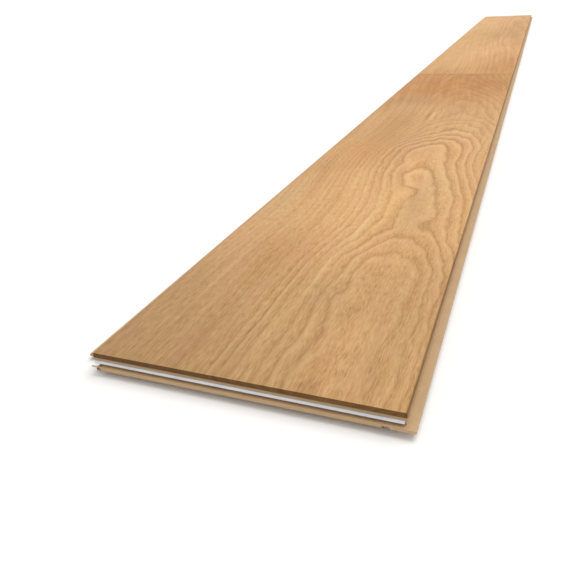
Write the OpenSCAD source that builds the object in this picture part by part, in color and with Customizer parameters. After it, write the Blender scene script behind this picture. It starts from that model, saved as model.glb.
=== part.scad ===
// Wide plank floorboard: an oak face on a fibreboard core with a veneer backing, milled to click together.
// The length runs along Y, the width along X and the thickness along Z.
// The tongue is on the +X edge, the locking lip on the -X edge and the sprung strip in the -Y end.
// The origin is on the underside, below the middle of the oak face.

/* [Board] */
// Length of the oak face
face_l = 2200; // [1200:10:3000]
// Width of the oak face
face_w = 152; // [90:1:260]
// Length of the stave at the near end, up to the butt joint
near_stave_l = 878; // [300:1:1100]
// Width of the small bevel along both long edges of the face
bevel = 0.4; // [0.1:0.05:0.9]

/* [Layers] */
// Thickness of the oak face
face_t = 2.5; // [1:0.1:6]
// Thickness of the fibreboard core
core_t = 6; // [5.6:0.1:12]
// Thickness of the backing veneer
back_t = 1.5; // [0.6:0.1:4]

/* [Long edge joint] */
// How far the tongue stands out from the face edge
tongue_reach = 4.5; // [3:0.1:6]
// Thickness of the tongue and of the end ledge
tongue_t = 1.3; // [1.1:0.05:1.6]
// Empty room in the groove beyond the tip of the tongue
groove_room = 0.5; // [0.2:0.05:1]
// Thickness of the locking lip below the groove
lip_t = 1.1; // [0.8:0.05:1.4]
// How far the locking lip stands out from the face edge
lip_reach = 9.5; // [8:0.1:12]
// Width of the locking rib at the root of its slopes
rib_w = 3.2; // [2.6:0.1:3.6]
// Height of the locking rib above the lip
rib_h = 0.9; // [0.5:0.05:1.2]
// Clearance between the milled faces of two boards that are locked together
play = 0.1; // [0.05:0.01:0.15]
// How far the locking lip stops short of the near end
corner_relief = 7.5; // [5:0.1:12]

/* [End joint] */
// How far the end ledge stands out from the near end
ledge_reach = 3; // [2.4:0.1:4]
// Width of the small rib along the edge of the end ledge
ledge_rib_w = 0.8; // [0.6:0.05:0.9]
// Height of that rib above the ledge
ledge_rib_h = 0.4; // [0.2:0.05:0.45]
// Thickness of the core that is left between the end ledge and the strip
land_t = 0.9; // [0.7:0.05:1.1]
// Thickness of the sprung strip
strip_t = 1.2; // [1:0.05:1.4]
// Depth of the sprung strip, from its back to its nose
strip_d = 4.4; // [3.6:0.1:5.5]
// How far the nose of the strip stands out from the near end
strip_show = 1.1; // [0.7:0.05:1.3]
// Empty room behind the strip, into which it springs
strip_room = 1.3; // [1.1:0.05:2]
// Clearance above the strip in its slot
strip_play = 0.1; // [0.05:0.01:0.2]
// How far the strip stops short of each long edge
strip_inset = 0.8; // [0.3:0.1:3]
// Width of the groove along the top of the strip
strip_groove_w = 1.2; // [0.6:0.05:1.4]
// Depth of the groove along the top of the strip
strip_groove_d = 0.3; // [0.1:0.05:0.5]

/* [Hidden] */

// Radius of the small milled corners, and of the tongue's tip
mill_r = 0.25;
tip_r = 0.5;
// Width of the guiding bevels at the mouths of the grooves and at the tip of the lip
guide = 0.35;
// Sideways run of a locking face for each unit of its height
lean = 0.3;
// Straight pieces in a milled corner
corner_n = 5;
// Length that a cutter's outline runs past the material
past = 5;

half_w = face_w / 2;
half_l = face_l / 2;

// Levels of the layers above the underside
core_z0 = back_t;
core_z1 = core_z0 + core_t;
top_z = core_z1 + face_t;

// Levels of the long edge joint
lip_z1 = core_z0 + lip_t;
rib_z1 = lip_z1 + rib_h;
tongue_z0 = lip_z1 + play;
tongue_z1 = tongue_z0 + tongue_t;
groove_z1 = tongue_z1 + play;
lock_z1 = rib_z1 + play;

// Depths of the long edge joint, measured outward from the face edge
groove_d = tongue_reach + groove_room;
rib_u0 = lip_reach - rib_w;
rebate_w = lip_reach + play;

// Levels and depths of the end joint, measured outward from the end of the face
slot_z0 = tongue_z1 + land_t;
slot_z1 = slot_z0 + strip_t + strip_play;
slot_d = strip_d - strip_show + strip_room;
ledge_rib_z1 = tongue_z1 + ledge_rib_h;
ledge_rib_u0 = ledge_reach - ledge_rib_w;
end_rebate_l = ledge_reach + play;
catch_d = strip_show + play;

// Points of a round corner about the centre c
function corner(c, r, from, to) =
    [for (i = [0 : corner_n]) let (a = from + (to - from) * i / corner_n) c + r * [cos(a), sin(a)]];

// Outlines of the long edges, as [outward from the face edge, level], from the top of the core to its underside.
// On the left the neighbour's tongue enters the groove, and the rib on the lip holds it there.
function groove_edge() = concat(
    [[0, core_z1], [0, groove_z1 + guide], [-guide, groove_z1]],
    corner([-groove_d + mill_r, groove_z1 - mill_r], mill_r, 90, 180),
    corner([-groove_d + mill_r, lip_z1 + mill_r], mill_r, 180, 270),
    [[rib_u0, lip_z1]],
    corner([rib_u0 + rib_h * lean + mill_r, rib_z1 - mill_r], mill_r, 165, 90),
    corner([lip_reach - rib_h - mill_r, rib_z1 - mill_r], mill_r, 90, 40),
    [[lip_reach, lip_z1 - guide / 2], [lip_reach, core_z0 + guide], [lip_reach - guide, core_z0]]
);

// On the right the tongue stands out above a rebate, which takes the neighbour's lip and its rib.
function tongue_edge() = concat(
    [[0, core_z1], [0, tongue_z1 + mill_r / 2], [mill_r / 2, tongue_z1]],
    corner([tongue_reach - tip_r, tongue_z1 - tip_r], tip_r, 90, 0),
    corner([tongue_reach - tip_r, tongue_z0 + tip_r], tip_r, 0, -90),
    [[play - rib_u0, tongue_z0], [play - rib_u0 - rib_h * lean, lock_z1]],
    [[-rebate_w, lock_z1], [-rebate_w, core_z0]]
);

// Outlines of the ends, as [outward from the end of the face, level], from the top of the core to its underside.
// The near end has the strip's slot, and below it the ledge that carries the neighbour's end.
function ledge_end() = [
    [0, core_z1],
    [0, slot_z1],
    [-slot_d, slot_z1],
    [-slot_d, slot_z0],
    [0, slot_z0],
    [0, tongue_z1],
    [ledge_rib_u0, tongue_z1],
    [ledge_rib_u0 + ledge_rib_h / 2, ledge_rib_z1],
    [ledge_reach - ledge_rib_h / 2, ledge_rib_z1],
    [ledge_reach, tongue_z1],
    [ledge_reach, tongue_z0],
    [ledge_reach - (tongue_z0 - core_z0), core_z0]
];

// The far end has the groove that catches the strip, above a rebate that takes the neighbour's ledge.
function catch_end() = [
    [0, core_z1],
    [0, slot_z1],
    [-catch_d, slot_z1 - guide],
    [-catch_d, slot_z0 - play],
    [0, slot_z0 - play],
    [0, groove_z1 + guide],
    [-guide, groove_z1],
    [play - ledge_rib_u0, groove_z1],
    [play - ledge_rib_u0 - ledge_rib_h / 2, ledge_rib_z1 + play],
    [-end_rebate_l, ledge_rib_z1 + play],
    [-end_rebate_l, core_z0]
];

function reversed(points) = [for (i = [len(points) - 1 : -1 : 0]) points[i]];

// An outline across the board, drawn along its length between two places
module along(from, to, outline) {
    translate([0, to, 0])
        rotate([90, 0, 0])
            linear_extrude(height = to - from)
                polygon(outline);
}

// An outline along the board, drawn across its width between two places
module across(from, to, outline) {
    translate([from, 0, 0])
        rotate([90, 0, 90])
            linear_extrude(height = to - from)
                polygon(outline);
}

// One stave of the oak face, with the small bevels of both long edges
module stave(from, to) {
    along(from, to, [
        [-half_w, core_z1],
        [half_w, core_z1],
        [half_w, top_z - bevel],
        [half_w - bevel, top_z],
        [-half_w + bevel, top_z],
        [-half_w, top_z - bevel]
    ]);
}

module face_stave_near() {
    color("#c8945f") stave(-half_l, -half_l + near_stave_l);
}

module face_stave_far() {
    color("#d3a370") stave(-half_l + near_stave_l, half_l);
}

// The core is milled twice: its long edges first, and then its ends
module core() {
    left = [for (p = groove_edge()) [-half_w - p[0], p[1]]];
    right = [for (p = tongue_edge()) [half_w + p[0], p[1]]];
    near = [for (p = ledge_end()) [-half_l - p[0], p[1]]];
    far = [for (p = catch_end()) [half_l + p[0], p[1]]];
    color("#cdb18c") difference() {
        intersection() {
            along(-half_l - ledge_reach - past, half_l + past, concat(left, reversed(right)));
            across(-half_w - lip_reach - past, half_w + tongue_reach + past, concat(near, reversed(far)));
        }
        locking_lip_relief();
    }
}

// The lip and the floor of its groove are cut away beside the near end
module locking_lip_relief() {
    translate([-half_w - lip_reach - past, -half_l - ledge_reach - past, core_z0 - past])
        cube([
            lip_reach + past + groove_d,
            ledge_reach + past + corner_relief,
            groove_z1 - core_z0 + past
        ]);
}

// The strip lies on the floor of its slot, with a sloped nose over which the neighbour's end snaps down
module locking_strip() {
    back = -half_l + strip_d - strip_show;
    nose = -half_l - strip_show;
    z1 = slot_z0 + strip_t;
    groove_y = (back + nose) / 2;
    color("#eef0f2") across(-half_w + strip_inset, half_w - strip_inset, [
        [back, slot_z0],
        [back, z1],
        [groove_y + strip_groove_w / 2, z1],
        [groove_y + strip_groove_w / 2, z1 - strip_groove_d],
        [groove_y - strip_groove_w / 2, z1 - strip_groove_d],
        [groove_y - strip_groove_w / 2, z1],
        [nose + strip_t / 2, z1],
        [nose, slot_z0 + strip_t / 3],
        [nose, slot_z0 + strip_t / 8],
        [nose + strip_t / 8, slot_z0]
    ]);
}

// The backing stops at the rebates of the tongue edge and of the far end
module backing() {
    color("#b19a7b")
        translate([-half_w, -half_l, 0])
            cube([face_w - rebate_w, face_l - end_rebate_l, back_t]);
}

face_stave_near();
face_stave_far();
core();
locking_strip();
backing();
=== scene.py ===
import math

import bpy
import numpy as np
from mathutils import Matrix, Vector


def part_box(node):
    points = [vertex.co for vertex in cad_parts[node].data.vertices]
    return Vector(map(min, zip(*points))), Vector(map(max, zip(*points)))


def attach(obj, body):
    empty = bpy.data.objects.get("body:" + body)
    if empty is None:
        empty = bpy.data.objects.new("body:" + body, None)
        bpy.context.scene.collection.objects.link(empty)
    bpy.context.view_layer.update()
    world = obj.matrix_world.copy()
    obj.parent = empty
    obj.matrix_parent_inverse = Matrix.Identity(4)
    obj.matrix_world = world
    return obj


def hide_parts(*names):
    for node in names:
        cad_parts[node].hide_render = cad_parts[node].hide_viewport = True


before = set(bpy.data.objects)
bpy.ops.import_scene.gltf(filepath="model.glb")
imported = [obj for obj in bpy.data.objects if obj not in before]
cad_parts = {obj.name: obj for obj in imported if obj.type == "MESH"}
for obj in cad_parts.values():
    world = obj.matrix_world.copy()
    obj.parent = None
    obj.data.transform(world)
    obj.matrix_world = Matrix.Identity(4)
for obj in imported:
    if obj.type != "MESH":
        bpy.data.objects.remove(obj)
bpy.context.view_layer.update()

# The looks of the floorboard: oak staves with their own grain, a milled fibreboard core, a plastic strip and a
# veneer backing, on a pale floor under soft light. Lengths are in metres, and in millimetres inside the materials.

MM = 0.001

stave_low, stave_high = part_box("face_stave_near")
core_low, core_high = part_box("core")
HALF_WIDTH = stave_high.x
NEAR_END = stave_low.y
TOP = stave_high.z


# Camera: the place and the axes that the photograph's vanishing points give

CAMERA_PLACE = Vector((0.1058, -1.2827, 0.1634))
CAMERA_RIGHT = Vector((0.93328, 0.35498, -0.05456))
CAMERA_UP = Vector((-0.12271, 0.45795, 0.88047))
CAMERA_BACK = Vector((0.33754, -0.81503, 0.47095))
CAMERA_LENS = 36.02
CAMERA_SENSOR = 36
CAMERA_NEAREST = 0.01
CAMERA_FARTHEST = 200


def make_camera():
    data = bpy.data.cameras.new("camera")
    data.sensor_width = CAMERA_SENSOR
    data.lens = CAMERA_LENS
    data.clip_start = CAMERA_NEAREST
    data.clip_end = CAMERA_FARTHEST
    camera = bpy.data.objects.new("camera", data)
    turn = Matrix((CAMERA_RIGHT, CAMERA_UP, CAMERA_BACK)).transposed().to_4x4()
    camera.matrix_world = Matrix.Translation(CAMERA_PLACE) @ turn
    bpy.context.scene.collection.objects.link(camera)
    bpy.context.scene.camera = camera


# Formulas in material nodes

def srgb(red, green, blue):
    """A colour given as 0 to 255 on a screen, as the linear colour that the shaders take."""
    def linear(value):
        value /= 255
        return value / 12.92 if value <= 0.04045 else ((value + 0.055) / 1.055) ** 2.4
    return (linear(red), linear(green), linear(blue), 1.0)


class Value:
    """A number or colour that varies over the surface, for use in plain arithmetic."""

    def __init__(self, graph, socket):
        self.graph, self.socket = graph, socket

    def __add__(self, other):
        return self.graph.math("ADD", self, other)

    def __sub__(self, other):
        return self.graph.math("SUBTRACT", self, other)

    def __rsub__(self, other):
        return self.graph.math("SUBTRACT", other, self)

    def __mul__(self, other):
        return self.graph.math("MULTIPLY", self, other)

    def __truediv__(self, other):
        return self.graph.math("DIVIDE", self, other)

    __radd__, __rmul__ = __add__, __mul__


class Graph:
    """The node tree of a new material, with one method for each step that its formulas use."""

    def __init__(self, name):
        self.material = bpy.data.materials.new(name)
        self.material.use_nodes = True
        self.nodes = self.material.node_tree.nodes
        self.links = self.material.node_tree.links
        self.nodes.clear()

    def put(self, socket, value):
        if isinstance(value, Value):
            self.links.new(value.socket, socket)
        else:
            socket.default_value = value

    def math(self, operation, *values):
        node = self.nodes.new("ShaderNodeMath")
        node.operation = operation
        for socket, value in zip(node.inputs, values):
            self.put(socket, value)
        return Value(self, node.outputs[0])

    def coordinates(self, kind):
        source = self.nodes.new("ShaderNodeTexCoord")
        parts = self.nodes.new("ShaderNodeSeparateXYZ")
        self.links.new(source.outputs[kind], parts.inputs[0])
        return [Value(self, output) for output in parts.outputs]

    def place(self):
        """Millimetres from the near left corner of the oak face: across, along and down from the face."""
        x, y, z = self.coordinates("Object")
        return (x + HALF_WIDTH) / MM, (y - NEAR_END) / MM, (TOP - z) / MM

    def facing(self, axis):
        """How squarely the surface faces along an axis, whichever way: 0 to 1."""
        return self.math("ABSOLUTE", self.coordinates("Normal")["XYZ".index(axis)])

    def vector(self, x, y, z):
        node = self.nodes.new("ShaderNodeCombineXYZ")
        for socket, value in zip(node.inputs, (x, y, z)):
            self.put(socket, value)
        return Value(self, node.outputs[0])

    def noise(self, x, y, z, pattern, seed=0.0):
        """Soft noise about 0, mostly within 0.5 each way.

        A pattern is the millimetres across, along and down that one change takes, its detail and its roughness.
        """
        across, along, down, detail, roughness = pattern
        node = self.nodes.new("ShaderNodeTexNoise")
        node.inputs["Scale"].default_value = 1.0
        node.inputs["Detail"].default_value = detail
        node.inputs["Roughness"].default_value = roughness
        self.put(node.inputs["Vector"], self.vector(x / across + seed, y / along, z / down))
        return Value(self, node.outputs["Fac"]) - 0.5

    def chance(self, value):
        """A random number from 0 to 1 for each whole number."""
        node = self.nodes.new("ShaderNodeTexWhiteNoise")
        node.noise_dimensions = "1D"
        self.put(node.inputs["W"], value)
        return Value(self, node.outputs["Value"])

    def ramp(self, value, start, end, low=0.0, high=1.0):
        """A smooth change from low, before start, to high, after end."""
        node = self.nodes.new("ShaderNodeMapRange")
        node.interpolation_type = "SMOOTHSTEP"
        for name, number in zip(("Value", "From Min", "From Max", "To Min", "To Max"), (value, start, end, low, high)):
            self.put(node.inputs[name], number)
        return Value(self, node.outputs[0])

    def spot(self, x, y, centre_x, centre_y, reach_x, reach_y):
        """1 at the centre of an oval and fading to nothing round it."""
        across = (x - centre_x) / reach_x
        along = (y - centre_y) / reach_y
        return self.math("EXPONENT", (across * across + along * along) * -1.0)

    def mix(self, share, first, second, blend="MIX"):
        node = self.nodes.new("ShaderNodeMix")
        node.data_type = "RGBA"
        node.blend_type = blend
        for index, value in ((0, share), (6, first), (7, second)):
            self.put(node.inputs[index], value)
        return Value(self, node.outputs[2])

    def tint(self, colour, red, green, blue):
        """The colour with each of its parts made weaker below 1 and stronger above 1."""
        return self.mix(1.0, colour, self.vector(red, green, blue), "MULTIPLY")

    def shade(self, colour, factor):
        """The colour made darker below 1 and lighter above 1."""
        return self.tint(colour, factor, factor, factor)

    def finish(self, colour, roughness, height, depth, **fixed):
        """The shader. Height is 0 to 1, over the depth in metres. The fixed inputs are the same all over."""
        shader = self.nodes.new("ShaderNodeBsdfPrincipled")
        bump = self.nodes.new("ShaderNodeBump")
        output = self.nodes.new("ShaderNodeOutputMaterial")
        bump.inputs["Strength"].default_value = 1.0
        bump.inputs["Distance"].default_value = depth
        self.put(bump.inputs["Height"], height)
        self.put(shader.inputs["Base Color"], colour)
        self.put(shader.inputs["Roughness"], roughness)
        for name, number in fixed.items():
            shader.inputs[name.replace("_", " ")].default_value = number
        self.links.new(bump.outputs[0], shader.inputs["Normal"])
        self.links.new(shader.outputs[0], output.inputs["Surface"])
        return self.material


# In the values below, a ramp is (start, end, value before the start, value after the end), from 0 to 1 where it gives
# no values. A pattern of noise is what Graph.noise says. A turn is how squarely a side has to face before it begins to
# look sawn, and when it does so fully.

# Oak: its colours, and how strongly the glow, the flecks, the blushes, the lines and the pores show

OAK_PALE = srgb(226, 181, 122)
OAK_DEEP = srgb(178, 119, 56)
OAK_GLOW = srgb(238, 198, 146)
OAK_PINK = srgb(214, 157, 114)
OAK_LINE = srgb(128, 80, 42)
OAK_PORE = srgb(96, 58, 32)
GLOW_SHARE = 0.32
FLECK_SHARE = 0.25
BLUSH_SHARE = 0.4
LINE_SHARE = 0.32
PORE_SHARE = 0.24

# How far each noise moves the tone, from 0 for deep wood to 1 for pale wood, and the tone that they start from
PLAIN_TONE = 0.64
STREAK_TONE = 0.6
CLOUD_TONE = 0.45
FIBRE_TONE = 0.45
DASH_TONE = 0.62
JAG_TONE = 0.8

# The noises of the rings, and how far they push them, in rings. Away from the middle of the arches the rings run
# straight, and the left side leans less than the rest.
RING_DRIFT = (14, 30, 14, 1.0, 0.5)
RING_WAVER = (4, 13, 4, 1.0, 0.5)
RING_JAG = (0.9, 7, 0.9, 3.0, 0.6)
DRIFT_PUSH = 1.2
WAVER_PUSH = 0.3
JAG_PUSH = 0.22
MIDDLE_RAMP = (18, 62, 1.0, 0.14)
LEAN_RAMP = (0, 80, 0.45, 1.0)

# Each ring has a dark line that starts sharply and fades, with finer lines between and a pale glow before the next.
# Beside the arches the lines break off here and there, and beyond a stave's last bold ring they are faint.
RING_BREAK = (7, 60, 7, 2.0, 0.5)
BREAK_RAMP = (-0.10, 0.16, 0.15, 1.0)
BOLD_FADE = 0.6
FAINT_RING = 0.35
WEAKEST_RING = 0.5
LINE_START_RAMP = (0.90, 1.0, 0.0, 0.6)
LINE_END_RAMP = (0.0, 0.34, 1.0, 0.0)
GLOW_START_RAMP = (0.45, 0.75)
GLOW_END_RAMP = (0.78, 0.92, 1.0, 0.0)
FINE_LINES = 3.0
FINE_WAVER = 2.0
FINE_LINE_RAMP = (0.0, 0.6, 0.18, 0.0)
FINE_PRESENCE_RAMP = (0.0, 0.3, 0.4, 1.0)

# Fibres, the dashes and streaks among them, clouds, pinkish blushes and pores. The fibres take part in the lean of
# the arches, and bend with the wavering of the rings by this many millimetres.
FIBRE = (0.8, 26, 0.8, 3.0, 0.6)
DASH = (1.4, 9, 1.4, 2.5, 0.6)
STREAK = (6, 200, 6, 3.0, 0.5)
CLOUD = (30, 110, 30, 2.0, 0.5)
BLUSH = (12, 90, 12, 3.0, 0.5)
PORE = (0.32, 7, 0.32, 1.5, 0.5)
FIBRE_LEAN = 0.6
FIBRE_BEND = 1.8
BLUSH_SEED = 5
BLUSH_RAMP = (-0.05, 0.25)
FLECK_JAG = 0.5
FLECK_RAMP = (0.10, 0.34)
# Pores are dense at the start of a ring and along the dark dashes
PORE_EDGE_RAMP = (0.05, 0.6, 0.02, 0.12)
PORE_DASH = 0.25
PORE_RAMP = (0.0, 0.08)

# Sawn ends are darker and warmer than the face, partly as end grain is and partly as painted shade. The sawn sides are
# darker and warmer as painted shade.
END_GRAIN_AND_SHADE = 0.27
SIDE_PAINTED_SHADE = 0.49
SAWN_GRAIN_AND_SHADE_WARMTH = 4.2
SAWN_TURN = (0.6, 0.9)
SIDE_TURN = (0.3, 0.65)
# Painted shade along the long edges of the face, darker and warmer, as a ramp over the millimetres from the edge
EDGE_SHADE_RAMP = (0.3, 1.4, 0.7, 1.0)
EDGE_SHADE_WARMTH = 6.0
# What one unit of warmth adds to red, and one unit of warmth or gold takes from blue
WARM_RED = 0.04
WARM_BLUE = -0.10

# The roughness and the height of plain wood, and how far lines, pores, streaks and fibres change them
OAK_ROUGHNESS = 0.55
LINE_ROUGHNESS = 0.06
PORE_ROUGHNESS = 0.2
STREAK_ROUGHNESS = -0.12
OAK_HEIGHT = 0.75
PORE_DEPTH = 0.5
LINE_DEPTH = 0.08
FIBRE_RISE = 0.25
OAK_RELIEF = 0.06 * MM
OAK_SPECULAR = 0.22

# The staves. A step is (start, end, amount) along the board, in millimetres from its near end. The pith that the
# rings go round lies above the board: its distance grows by the pith steps, and its place across by the lean steps.
# A spot is (across, along, reach across, reach along, change), all but the last in millimetres.
NEAR_STAVE = dict(
    noise_seed=3.0,
    furrow_seed=11,
    middle=116.0,
    lean=((210, 360, -18), (375, 470, 13), (540, 880, -40)),
    pith=31.5,
    pith_steps=((110, 200, 12.5), (300, 350, 2), (385, 490, 18), (480, 560, 13), (560, 900, 26)),
    first_ring=-7.11,
    ring=4.5,
    last_bold_ring=6.8,
    lines=1.0,
    wave=1.0,
    # Spots that turn the rings into closed figures
    figures=((117, 50, 13, 62, 0.55), (101, 264, 8, 13, 0.6), (97, 303, 9, 15, -0.35), (104, 385, 14, 30, 0.45)),
    # Spots where the lines fade, or stand out
    fading=((80, 60, 9, 110, -0.75), (30, 130, 30, 220, -0.7), (117, 75, 10, 58, -0.9), (100, 420, 40, 50, 0.2),
            (66, 90, 3, 90, 0.4), (60, 740, 90, 170, -0.85), (134, 570, 12, 50, 0.5), (104, 238, 26, 40, -0.4),
            (82, 262, 14, 48, -0.45), (112, 492, 34, 20, 0.8), (34, 325, 11, 48, 1.3), (124, 140, 30, 95, -0.32),
            (72, 430, 16, 70, -0.3), (138, 20, 24, 60, -0.45)),
    # Spots where the rings waver less
    calm=((108, 290, 26, 100, -0.7), (104, 380, 24, 40, -0.4)),
    # Spots where the fibres stand out more, or less
    rough=((70, 30, 110, 150, 0.35), (75, 740, 110, 150, -0.35), (42, 470, 26, 50, -0.5)),
    # Spots of paler or deeper wood: wide zones first, then single streaks
    tones=((100, 270, 34, 120, 0.05), (75, 765, 170, 140, -0.62), (45, 120, 30, 40, -0.14),
           (45, 370, 34, 60, -0.22), (30, 480, 60, 60, -0.08), (76, 885, 200, 18, -0.25),
           (22, 85, 1.8, 50, 0.3), (75.5, 40, 1.8, 40, 0.3), (79, 110, 1.9, 45, 0.4), (84, 185, 2.3, 42, 0.4),
           (75.5, 542, 1.8, 20, 0.7), (70.5, 545, 1.8, 20, -0.35), (80.5, 536, 1.8, 14, -0.3)),
    # Spots that are darker, or lighter, with no other change. The first two, at the near end, are painted shade,
    # darker where less light reaches.
    shades=((0, -10, 90, 150, -0.31), (100, -30, 80, 120, -0.15), (142, 90, 30, 75, -0.12),
            (30, 500, 60, 150, -0.08), (90, 520, 120, 120, -0.03), (75, 770, 160, 110, -0.06),
            (112, 300, 34, 130, -0.035), (70, 590, 110, 50, -0.02), (76, 872, 120, 40, -0.16),
            (35, 750, 55, 40, 0.14), (15, 325, 24, 45, -0.11), (112, 240, 12, 50, -0.13), (97, 240, 8, 45, 0.14),
            (97, 338, 9, 26, 0.17), (90, 88, 16, 20, -0.10), (127, 695, 14, 50, -0.09), (67, 790, 12, 40, 0.09),
            (68, 230, 11, 70, 0.06), (114, 30, 12, 45, 0.10), (12, 85, 14, 30, -0.06), (30, 635, 40, 30, -0.10),
            (30, 440, 50, 35, -0.05)),
    # Spots that are warmer, or cooler
    warmth=((10, 60, 60, 170, -0.8), (75, 760, 160, 120, 1.3), (76, 875, 200, 50, 1.7), (105, 30, 50, 70, -0.5),
            (8, 235, 16, 60, -1.3), (42, 740, 42, 55, -1.2), (32, 370, 22, 80, 1.0), (118, 400, 18, 50, 1.2),
            (146, 790, 14, 60, -1.0)),
    # Spots that are more golden, or less
    golden=((90, 820, 60, 110, 1.0), (140, 820, 25, 110, 2.2), (72, 820, 14, 80, 1.1), (50, 735, 40, 50, 1.1),
            (118, 400, 18, 50, -0.9)),
)
FAR_STAVE = dict(
    noise_seed=17.0,
    furrow_seed=23,
    middle=172.0,
    lean=((880, 1500, -40), (1500, 2200, -20)),
    pith=55.0,
    pith_steps=((900, 1300, 5), (1300, 1800, 6), (1800, 2200, 6)),
    first_ring=3.0,
    ring=6.0,
    last_bold_ring=3.0,
    lines=0.6,
    wave=0.4,
    figures=((120, 1150, 18, 90, 0.3),),
    fading=(),
    calm=(),
    rough=(),
    tones=((140, 1010, 60, 130, -0.42), (120, 1700, 40, 260, -0.18), (70, 1120, 30, 160, 0.12),
           (20, 1900, 60, 400, 0.06)),
    shades=((76, 900, 200, 220, -0.02), (0, 950, 50, 200, -0.04), (76, 1610, 120, 130, -0.03),
            (76, 1950, 120, 110, 0.02), (76, 900, 120, 60, -0.14), (90, 1450, 120, 220, -0.06),
            (110, 1560, 60, 150, -0.09), (140, 1950, 40, 170, -0.10)),
    warmth=((90, 1000, 160, 200, 0.4), (80, 1500, 200, 900, 0.45), (90, 900, 160, 90, 0.9),
            (120, 1250, 36, 260, 1.0)),
    golden=((140, 915, 50, 60, 2.2), (60, 1520, 130, 220, 1.1), (120, 1250, 36, 260, -0.9)),
)


def steps(g, place, start, changes):
    """A start value with smooth changes along the board."""
    for low, high, amount in changes:
        start = g.ramp(place, low, high, 0.0, amount) + start
    return start


def spots(g, x, y, start, changes):
    """A start value with smooth oval changes here and there."""
    for *oval, amount in changes:
        start = g.spot(x, y, *oval) * amount + start
    return start


def oak_material(name, stave):
    g = Graph(name)
    x, y, z = g.place()
    seed = stave["noise_seed"]

    # The rings cut the face as arches, because the pith's distance changes along the board
    lean = steps(g, y, 0.0, stave["lean"])
    off = x - lean * g.ramp(x, *LEAN_RAMP) - stave["middle"]
    depth = steps(g, y, z + stave["pith"], stave["pith_steps"])
    rings = g.math("SQRT", off * off + depth * depth) / stave["ring"] + stave["first_ring"]
    rings = spots(g, x, y, rings, stave["figures"])
    middle = g.ramp(g.math("ABSOLUTE", off), *MIDDLE_RAMP)
    slow = g.noise(x, y, z, RING_DRIFT, seed)
    quick = g.noise(x, y, z, RING_WAVER, seed)
    jag = g.noise(x + quick * FIBRE_BEND, y, z, RING_JAG, seed)
    waver = (slow * DRIFT_PUSH + quick * WAVER_PUSH) * middle * spots(g, x, y, stave["wave"], stave["calm"])
    rings = rings + waver + jag * JAG_PUSH

    ring = g.math("FLOOR", rings)
    part = rings - ring
    bold = g.ramp(rings, stave["last_bold_ring"], stave["last_bold_ring"] + BOLD_FADE, 1.0, FAINT_RING)
    broken = g.ramp(g.noise(x, y, z, RING_BREAK, seed), *BREAK_RAMP) * (1.0 - middle) + middle
    present = spots(g, x, y, 1.0, stave["fading"]) * bold * broken * stave["lines"]
    strength = (g.chance(ring + seed) * (1.0 - WEAKEST_RING) + WEAKEST_RING) * present
    line = g.ramp(part, *LINE_END_RAMP) * strength + g.ramp(part, *LINE_START_RAMP) * present
    finer = g.math("FRACT", rings * FINE_LINES + quick * FINE_WAVER)
    line = line + g.ramp(finer, *FINE_LINE_RAMP) * broken * g.ramp(present, *FINE_PRESENCE_RAMP)
    glow = g.ramp(part, *GLOW_START_RAMP) * g.ramp(part, *GLOW_END_RAMP) * present

    fibre_x = x - lean * FIBRE_LEAN + quick * FIBRE_BEND
    fibre = g.noise(fibre_x, y, z, FIBRE, seed)
    dash = g.noise(fibre_x, y, z, DASH, seed)
    streak = g.noise(fibre_x, y, z, STREAK, seed)
    cloud = g.noise(x, y, z, CLOUD, seed)
    blush = g.ramp(g.noise(fibre_x, y, z, BLUSH, seed + BLUSH_SEED), *BLUSH_RAMP)
    pore_edge = g.ramp(part, *PORE_EDGE_RAMP) - dash * PORE_DASH
    pore = g.ramp(g.noise(fibre_x, y, z, PORE, seed) - pore_edge, *PORE_RAMP)

    rough = spots(g, x, y, 1.0, stave["rough"])
    grain = (fibre * FIBRE_TONE + dash * DASH_TONE + jag * JAG_TONE) * rough
    tone = streak * STREAK_TONE + grain + cloud * CLOUD_TONE + PLAIN_TONE
    fleck = g.ramp(dash + jag * FLECK_JAG, *FLECK_RAMP) * rough
    colour = g.mix(spots(g, x, y, tone, stave["tones"]), OAK_DEEP, OAK_PALE)
    colour = g.mix(blush * BLUSH_SHARE, colour, OAK_PINK)
    colour = g.mix(glow * GLOW_SHARE + fleck * FLECK_SHARE, colour, OAK_GLOW)
    colour = g.mix(line * LINE_SHARE, colour, OAK_LINE)
    colour = g.mix(pore * PORE_SHARE, colour, OAK_PORE)

    facing_x, facing_y = g.facing("X"), g.facing("Y")
    # Painted shade: the sawn sides darker, and the sawn ends darker partly as end grain is and partly as painted shade
    end = g.ramp(facing_y, *SAWN_TURN, 1.0, END_GRAIN_AND_SHADE)
    side = g.ramp(facing_x, *SIDE_TURN, 1.0, SIDE_PAINTED_SHADE)
    sawn = g.ramp(g.math("MAXIMUM", facing_x, facing_y), *SAWN_TURN)
    # Painted shade along both long edges of the face, which also warms them
    edge_shade = g.ramp(x, *EDGE_SHADE_RAMP) * g.ramp(2 * HALF_WIDTH / MM - x, *EDGE_SHADE_RAMP)
    warmth = (1.0 - edge_shade) * EDGE_SHADE_WARMTH * (1.0 - sawn) + sawn * SAWN_GRAIN_AND_SHADE_WARMTH
    warmth = spots(g, x, y, warmth, stave["warmth"])
    golden = spots(g, x, y, warmth, stave["golden"])
    colour = g.tint(colour, warmth * WARM_RED + 1.0, 1.0, golden * WARM_BLUE + 1.0)
    # The sawn sides and ends, the long edges and the near-end spots are darkened here as painted shade
    colour = g.shade(colour, end * side * edge_shade * spots(g, x, y, 1.0, stave["shades"]))

    roughness = line * LINE_ROUGHNESS + pore * PORE_ROUGHNESS + streak * STREAK_ROUGHNESS + OAK_ROUGHNESS
    height = OAK_HEIGHT - pore * PORE_DEPTH - line * LINE_DEPTH + fibre * FIBRE_RISE
    return g.finish(colour, roughness, height, OAK_RELIEF, Specular_IOR_Level=OAK_SPECULAR)


# Fibreboard: fluffy and clumped, with faint lines along the board where a cutter went

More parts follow.
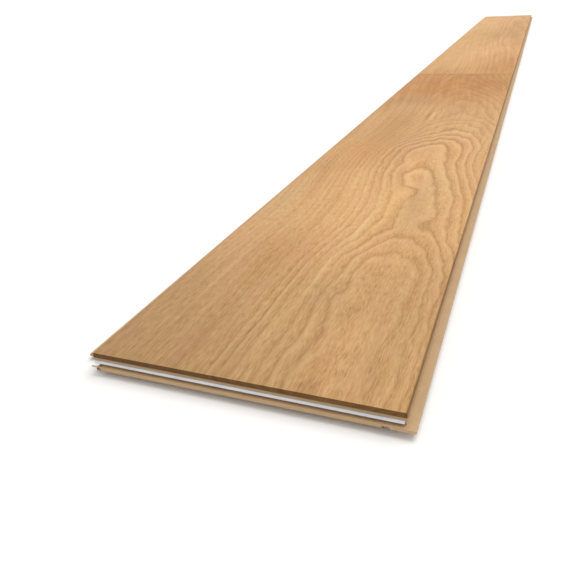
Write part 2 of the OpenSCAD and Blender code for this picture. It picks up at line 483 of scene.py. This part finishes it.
BOARD_PALE = srgb(209, 178, 137)
BOARD_DARK = srgb(170, 136, 97)
BOARD_GLUE_AND_SHADE = srgb(116, 82, 48)
BOARD_FLUFF = (0.45, 0.9, 0.12, 4.0, 0.65)
BOARD_CLUMP = (9, 14, 0.5, 3.0, 0.5)
CLUMP_SHARE = 0.35
BOARD_RAMP = (-0.5, 0.5)
CUTTER_LINES = (0.25, 90, 0.25, 2.0, 0.5)
CUTTER_RAMP = (0.8, 1.0, 1.0, 0.2)
CUTTER_SHADE = 0.14
# The pressed skins are denser and darker than the middle. The long sides are darker as painted shade, where the oak
# above shades them.
SKIN_START = 0.25
SKIN_SHADE = 0.22
LONG_SIDE_SHADE_RAMP = (0.5, 0.9, 0.0, 0.14)
# A dark glue line on the sides under the oak, partly painted shade: how deep in millimetres, and how strongly
GLUE_AND_SHADE_DEPTH = 0.5
GLUE_AND_SHADE_SHARE = 0.8
GLUE_AND_SHADE_SIDE_RAMP = (0.3, 0.6, 1.0, 0.0)
BOARD_ROUGHNESS = 0.78
FLUFF_ROUGHNESS = 0.2
BOARD_HEIGHT = 0.5
FLUFF_RISE = 0.8
CUTTER_RISE = 0.3
BOARD_RELIEF = 0.05 * MM


def fibreboard_material(name):
    g = Graph(name)
    x, y, z = g.place()
    thickness = (core_high.z - core_low.z) / MM
    deep = z - (TOP - core_high.z) / MM
    facing_z = g.facing("Z")
    fluff = g.noise(x, y, z, BOARD_FLUFF)
    clump = g.noise(x, y, z, BOARD_CLUMP)
    cutter = g.noise(x, y, z, CUTTER_LINES) * g.ramp(facing_z, *CUTTER_RAMP)
    skin = g.ramp(g.math("ABSOLUTE", deep - thickness / 2), thickness * SKIN_START, thickness / 2)
    colour = g.mix(g.ramp(fluff + clump * CLUMP_SHARE, *BOARD_RAMP), BOARD_DARK, BOARD_PALE)
    # Painted shade on the long sides of the core
    long_side_shade = g.ramp(g.facing("X"), *LONG_SIDE_SHADE_RAMP)
    colour = g.shade(colour, 1.0 - skin * SKIN_SHADE + cutter * CUTTER_SHADE - long_side_shade)
    # A dark glue line just under the oak, partly painted shade
    glue_and_shade = g.ramp(deep, 0.0, GLUE_AND_SHADE_DEPTH, GLUE_AND_SHADE_SHARE, 0.0) * g.ramp(facing_z, *GLUE_AND_SHADE_SIDE_RAMP)
    colour = g.mix(glue_and_shade, colour, BOARD_GLUE_AND_SHADE)
    roughness = fluff * FLUFF_ROUGHNESS + BOARD_ROUGHNESS
    height = fluff * FLUFF_RISE + cutter * CUTTER_RISE + BOARD_HEIGHT
    return g.finish(colour, roughness, height, BOARD_RELIEF)


# White plastic: drawn lines along the strip and a light haze

PLASTIC = srgb(238, 240, 243)
PLASTIC_SHADE = srgb(214, 217, 222)
PLASTIC_LINES = (60, 0.15, 0.15, 3.0, 0.5)
PLASTIC_HAZE = (9, 3, 3, 2.0, 0.5)
PLASTIC_RAMP = (-0.4, 0.4)
PLASTIC_ROUGHNESS = 0.36
DRAWN_ROUGHNESS = 0.12
HAZE_ROUGHNESS = 0.08
PLASTIC_HEIGHT = 0.5
DRAWN_RISE = 0.5
PLASTIC_RELIEF = 0.01 * MM
PLASTIC_IOR = 1.5


def plastic_material(name):
    g = Graph(name)
    x, y, z = g.place()
    drawn = g.noise(x, y, z, PLASTIC_LINES)
    haze = g.noise(x, y, z, PLASTIC_HAZE)
    colour = g.mix(g.ramp(drawn + haze, *PLASTIC_RAMP), PLASTIC_SHADE, PLASTIC)
    roughness = drawn * DRAWN_ROUGHNESS + haze * HAZE_ROUGHNESS + PLASTIC_ROUGHNESS
    height = drawn * DRAWN_RISE + PLASTIC_HEIGHT
    return g.finish(colour, roughness, height, PLASTIC_RELIEF, IOR=PLASTIC_IOR)


# Backing veneer: peeled softwood, with wide wandering rings, lathe checks and pink blotches

VENEER_PALE = srgb(190, 168, 134)
VENEER_DARK = srgb(150, 122, 92)
VENEER_PINK = srgb(176, 134, 108)
VENEER_RING = 34
VENEER_SLANT = 900
VENEER_WANDER = (60, 190, 20, 3.0, 0.5)
WANDER_PUSH = 5.0
VENEER_LINE_END_RAMP = (0.0, 0.35, 1.0, 0.0)
VENEER_LINE_START_RAMP = (0.93, 1.0, 0.0, 0.8)
VENEER_LINE_SHARE = 0.4
VENEER_FIBRE = (0.9, 45, 0.9, 4.0, 0.6)
VENEER_FIBRE_RAMP = (-0.3, 0.3)
VENEER_CHECK = (0.5, 12, 0.5, 1.0, 0.5)
VENEER_CHECK_RAMP = (0.17, 0.24)
VENEER_CHECK_SHARE = 0.3
VENEER_BLOTCH = (26, 50, 26, 3.0, 0.5)
VENEER_BLOTCH_SEED = 4
VENEER_BLOTCH_RAMP = (0.02, 0.2)
VENEER_BLOTCH_SHARE = 0.3
VENEER_SIDE_RAMP = (0.5, 0.9, 1.0, 0.6)
VENEER_CLOUD = (40, 120, 10, 2.0, 0.5)
VENEER_CLOUD_SHADE = 0.12
VENEER_ROUGHNESS = 0.72
VENEER_FIBRE_ROUGHNESS = 0.15
VENEER_HEIGHT = 0.7
VENEER_CHECK_DEPTH = 0.4
VENEER_FIBRE_RISE = 0.4
VENEER_RELIEF = 0.05 * MM


def veneer_material(name):
    g = Graph(name)
    x, y, z = g.place()
    rings = x / VENEER_RING + g.noise(x, y, z, VENEER_WANDER) * WANDER_PUSH + y / VENEER_SLANT
    part = g.math("FRACT", rings)
    line = g.ramp(part, *VENEER_LINE_END_RAMP) + g.ramp(part, *VENEER_LINE_START_RAMP)
    fibre = g.noise(x, y, z, VENEER_FIBRE)
    check = g.ramp(g.noise(x, y, z, VENEER_CHECK), *VENEER_CHECK_RAMP)
    blotch = g.ramp(g.noise(x, y, z, VENEER_BLOTCH, VENEER_BLOTCH_SEED), *VENEER_BLOTCH_RAMP)
    colour = g.mix(g.ramp(fibre, *VENEER_FIBRE_RAMP), VENEER_DARK, VENEER_PALE)
    colour = g.mix(line * VENEER_LINE_SHARE, colour, VENEER_DARK)
    colour = g.mix(blotch * VENEER_BLOTCH_SHARE, colour, VENEER_PINK)
    colour = g.mix(check * VENEER_CHECK_SHARE, colour, VENEER_DARK)
    side = g.ramp(g.math("MAXIMUM", g.facing("X"), g.facing("Y")), *VENEER_SIDE_RAMP)
    colour = g.shade(colour, side + g.noise(x, y, z, VENEER_CLOUD) * VENEER_CLOUD_SHADE)
    roughness = fibre * VENEER_FIBRE_ROUGHNESS + VENEER_ROUGHNESS
    height = VENEER_HEIGHT - check * VENEER_CHECK_DEPTH + fibre * VENEER_FIBRE_RISE
    return g.finish(colour, roughness, height, VENEER_RELIEF)


# Meshes

SHARP_ANGLE = math.radians(40)


def show(name, points, faces, material, replaced):
    """Makes a piece that stands for a node and rides with the board."""
    mesh = bpy.data.meshes.new(name)
    mesh.from_pydata(points, [], faces)
    mesh.validate()
    mesh.shade_smooth()
    mesh.set_sharp_from_angle(angle=SHARP_ANGLE)
    mesh.materials.append(material)
    piece = bpy.data.objects.new(name, mesh)
    bpy.context.scene.collection.objects.link(piece)
    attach(piece, "root")
    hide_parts(replaced)
    return piece


# Where the sides of a stave lie on its texture map: left and right end, bottom and top. The face gets most of it.
MAP_NAME = "OFBake"
MAP_FACE = (0.004, 0.900, 0.004, 0.996)
MAP_LEFT = (0.912, 0.922, 0.004, 0.996)
MAP_RIGHT = (0.932, 0.942, 0.004, 0.996)
MAP_UNDERSIDE = (0.952, 0.966, 0.004, 0.996)
MAP_NEAR = (0.976, 0.992, 0.010, 0.490)
MAP_FAR = (0.976, 0.992, 0.510, 0.990)
# The least upward or downward share of a direction that counts as the face or the underside
MAP_LEVEL = 0.3


def lay_out(mesh, low, high):
    """Gives a stave a texture map on which the face has nearly all the room."""
    size = high - low
    layer = mesh.uv_layers.new(name=MAP_NAME)
    for face in mesh.polygons:
        way = face.normal
        if abs(way.z) > MAP_LEVEL:
            box, first, second = (MAP_FACE if way.z > 0 else MAP_UNDERSIDE), 0, 1
        elif abs(way.x) > abs(way.y):
            box, first, second = (MAP_RIGHT if way.x > 0 else MAP_LEFT), 2, 1
        else:
            box, first, second = (MAP_FAR if way.y > 0 else MAP_NEAR), 2, 0
        for corner in face.loop_indices:
            share = mesh.vertices[mesh.loops[corner].vertex_index].co - low
            u = box[0] + (box[1] - box[0]) * share[first] / size[first]
            v = box[2] + (box[3] - box[2]) * share[second] / size[second]
            layer.uv[corner].vector = (u, v)


def furrows(x, y, across, along, seed):
    """Smooth random heights from 0 to 1 on a grid of places, long along the board and narrow across it."""
    u, v = x / across, y / along
    u, v = u - u.min(), v - v.min()
    dice = np.random.default_rng(seed).random((int(u.max()) + 2, int(v.max()) + 2))
    i, j = u.astype(int), v.astype(int)
    s, t = (w * w * (3 - 2 * w) for w in (u - i, v - j))
    near = dice[i, j] * (1 - s) + dice[i + 1, j] * s
    away = dice[i, j + 1] * (1 - s) + dice[i + 1, j + 1] * s
    return near * (1 - t) + away * t


# The bevel of the long edges, and how far the ends of the board and the edges of the butt joint are rounded
BEVEL = 0.4 * MM
ARRIS = 0.12 * MM
SEAM_ARRIS = 0.18 * MM
ROUNDING_POINTS = 5
# The brushed furrows: their depth, the width over which they rise beside the bevels, and two sorts, each with its
# width, length and share of the depth
BRUSHED_DEPTH = 0.035 * MM
BRUSHED_RISE = 2 * MM
WIDE_FURROWS = (2.6 * MM, 150 * MM, 0.65)
THIN_FURROWS = (1.3 * MM, 60 * MM, 0.35)
# The pitch of the mesh across and along
COLUMN = 0.8 * MM
ROW = 8 * MM


def eased(distance, radius):
    """How far a rounded edge lies below the face at a distance from the edge."""
    left = np.clip(1 - distance / radius, 0, 1)
    return radius * (1 - np.sqrt(1 - left * left))


def stations(low, high, pitch, radii):
    """Places from low to high, with close ones over the rounding at each end."""
    turn = 1 - np.cos(np.linspace(0, math.pi / 2, ROUNDING_POINTS))
    start = low + radii[0] * turn
    stop = high - radii[1] * turn[::-1]
    count = max(2, round((stop[0] - start[-1]) / pitch))
    return np.concatenate([start, np.linspace(start[-1], stop[0], count + 1)[1:-1], stop])


def brushed(x, y, seed):
    """The furrows of both sorts, from 0 to 1."""
    return sum(share * furrows(x, y, across, along, seed + turn)
               for turn, (across, along, share) in enumerate((WIDE_FURROWS, THIN_FURROWS)))


def stave_piece(name, node, material, near_arris, far_arris, seed):
    """A brushed stave: a bevel along both long edges, eased ends and shallow furrows along the grain."""
    low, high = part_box(node)
    xs = stations(low.x, high.x, COLUMN, (BEVEL, BEVEL))
    ys = stations(low.y, high.y, ROW, (near_arris, far_arris))
    x, y = np.meshgrid(xs, ys)
    side = np.minimum(x - low.x, high.x - x)
    bevel = np.clip(BEVEL - side, 0, None)
    ends = np.maximum(eased(y - low.y, near_arris), eased(high.y - y, far_arris))
    open_face = np.clip((side - BEVEL) / BRUSHED_RISE, 0, 1)
    z = high.z - bevel - ends - BRUSHED_DEPTH * brushed(x, y, seed) * open_face
    rows, columns = x.shape

    # The points: the face, the feet of the left and right sides, and the feet of the ends between them
    points = [*map(tuple, np.stack([x, y, z], -1).reshape(-1, 3))]
    at_left = rows * columns
    at_right = at_left + rows
    at_near = at_right + rows
    at_far = at_near + columns - 2
    points += [(u, v, low.z) for u in (xs[0], xs[-1]) for v in ys]
    points += [(u, v, low.z) for v in (ys[0], ys[-1]) for u in xs[1:-1]]

    # The face and the two long sides, row by row
    faces = []
    for j in range(rows - 1):
        a, b = j * columns, (j + 1) * columns
        faces += [(a + i, a + i + 1, b + i + 1, b + i) for i in range(columns - 1)]
        faces.append((at_left + j, a, b, at_left + j + 1))
        faces.append((a + columns - 1, at_right + j, at_right + j + 1, b + columns - 1))

    # The two ends, and then the underside
    near_feet = [at_left, *range(at_near, at_far), at_right]
    far_feet = [at_left + rows - 1, *range(at_far, at_far + columns - 2), at_right + rows - 1]
    last = (rows - 1) * columns
    for i in range(columns - 1):
        faces.append((near_feet[i], near_feet[i + 1], i + 1, i))
        faces.append((far_feet[i + 1], far_feet[i], last + i, last + i + 1))
    for j in range(rows - 1):
        near_edge = near_feet if j == 0 else [at_left + j, at_right + j]
        far_edge = far_feet if j == rows - 2 else [at_left + j + 1, at_right + j + 1]
        faces.append((*near_edge[::-1], *far_edge))

    piece = show(name, points, faces, material, node)
    lay_out(piece.data, low, high)


# How the edges of the solids that are shown as they are get eased
WELD_REACH = 0.001 * MM
EASE_SEGMENTS = 2
EASE_ANGLE = math.radians(25)
CORE_EASE = 0.06 * MM
STRIP_EASE = 0.08 * MM
BACKING_EASE = 0.1 * MM


def dress(node, material, width):
    """Gives a solid that is shown as it is its material, and eases its sharp edges."""
    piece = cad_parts[node]
    piece.data.materials.clear()
    piece.data.materials.append(material)
    weld = piece.modifiers.new("weld", "WELD")
    weld.merge_threshold = WELD_REACH
    ease = piece.modifiers.new("ease", "BEVEL")
    ease.width = width
    ease.segments = EASE_SEGMENTS
    ease.limit_method = "ANGLE"
    ease.angle_limit = EASE_ANGLE
    piece.data.shade_flat()


# Studio

FLOOR_REACH = 60.0
FLOOR_DROP = 0.05 * MM
FLOOR_CORNERS = 64
FLOOR_PALE = srgb(252, 252, 252)
FLOOR_SHADE = srgb(249, 249, 250)
FLOOR_MOTTLE = (400, 400, 1, 2.0, 0.5)
FLOOR_ROUGHNESS = 0.8
MOTTLE_ROUGHNESS = 0.1
FLOOR_RELIEF = 0.01 * MM

# The sky's colour at the horizon, and from a height on; and the lamp, with the way to it and how wide it looks
SKY_LOW = (1.06, 1.055, 1.04, 1)
SKY_HIGH = (0.52, 0.515, 0.51, 1)
SKY_HEIGHT = 0.7
LAMP_STRENGTH = 1.9
LAMP_WIDTH = math.radians(50)
LAMP_COLOUR = (1.0, 0.985, 0.96)
LAMP_WAY = Vector((0.15, 0.45, 0.88))


def make_floor():
    rim = [(FLOOR_REACH * math.cos(a), FLOOR_REACH * math.sin(a), -FLOOR_DROP)
           for a in np.linspace(0, 2 * math.pi, FLOOR_CORNERS, endpoint=False)]
    mesh = bpy.data.meshes.new("floor")
    mesh.from_pydata(rim, [], [tuple(range(len(rim)))])
    g = Graph("floor_paint")
    mottle = g.noise(*g.place(), FLOOR_MOTTLE)
    colour = g.mix(mottle + 0.5, FLOOR_SHADE, FLOOR_PALE)
    roughness = mottle * MOTTLE_ROUGHNESS + FLOOR_ROUGHNESS
    mesh.materials.append(g.finish(colour, roughness, mottle + 0.5, FLOOR_RELIEF))
    floor = bpy.data.objects.new("floor", mesh)
    bpy.context.scene.collection.objects.link(floor)


def make_light():
    world = bpy.data.worlds.new("studio")
    world.use_nodes = True
    bpy.context.scene.world = world
    nodes, links = world.node_tree.nodes, world.node_tree.links
    coordinates = nodes.new("ShaderNodeTexCoord")
    parts = nodes.new("ShaderNodeSeparateXYZ")
    height = nodes.new("ShaderNodeMapRange")
    blend = nodes.new("ShaderNodeMix")
    blend.data_type = "RGBA"
    blend.inputs[6].default_value = SKY_LOW
    blend.inputs[7].default_value = SKY_HIGH
    height.inputs["From Max"].default_value = SKY_HEIGHT
    links.new(coordinates.outputs["Generated"], parts.inputs[0])
    links.new(parts.outputs["Z"], height.inputs["Value"])
    links.new(height.outputs[0], blend.inputs[0])
    links.new(blend.outputs[2], nodes["Background"].inputs["Color"])

    data = bpy.data.lights.new("softbox", "SUN")
    data.energy = LAMP_STRENGTH
    data.angle = LAMP_WIDTH
    data.color = LAMP_COLOUR
    lamp = bpy.data.objects.new("softbox", data)
    lamp.rotation_mode = "QUATERNION"
    lamp.rotation_quaternion = LAMP_WAY.to_track_quat("Z", "Y")
    bpy.context.scene.collection.objects.link(lamp)


bpy.context.scene.view_settings.view_transform = "Standard"
make_camera()
make_floor()
make_light()

stave_piece("oak_stave_near", "face_stave_near", oak_material("oak_near", NEAR_STAVE),
            ARRIS, SEAM_ARRIS, NEAR_STAVE["furrow_seed"])
stave_piece("oak_stave_far", "face_stave_far", oak_material("oak_far", FAR_STAVE),
            SEAM_ARRIS, ARRIS, FAR_STAVE["furrow_seed"])
dress("core", fibreboard_material("fibreboard"), CORE_EASE)
dress("locking_strip", plastic_material("strip_plastic"), STRIP_EASE)
dress("backing", veneer_material("backing_veneer"), BACKING_EASE)
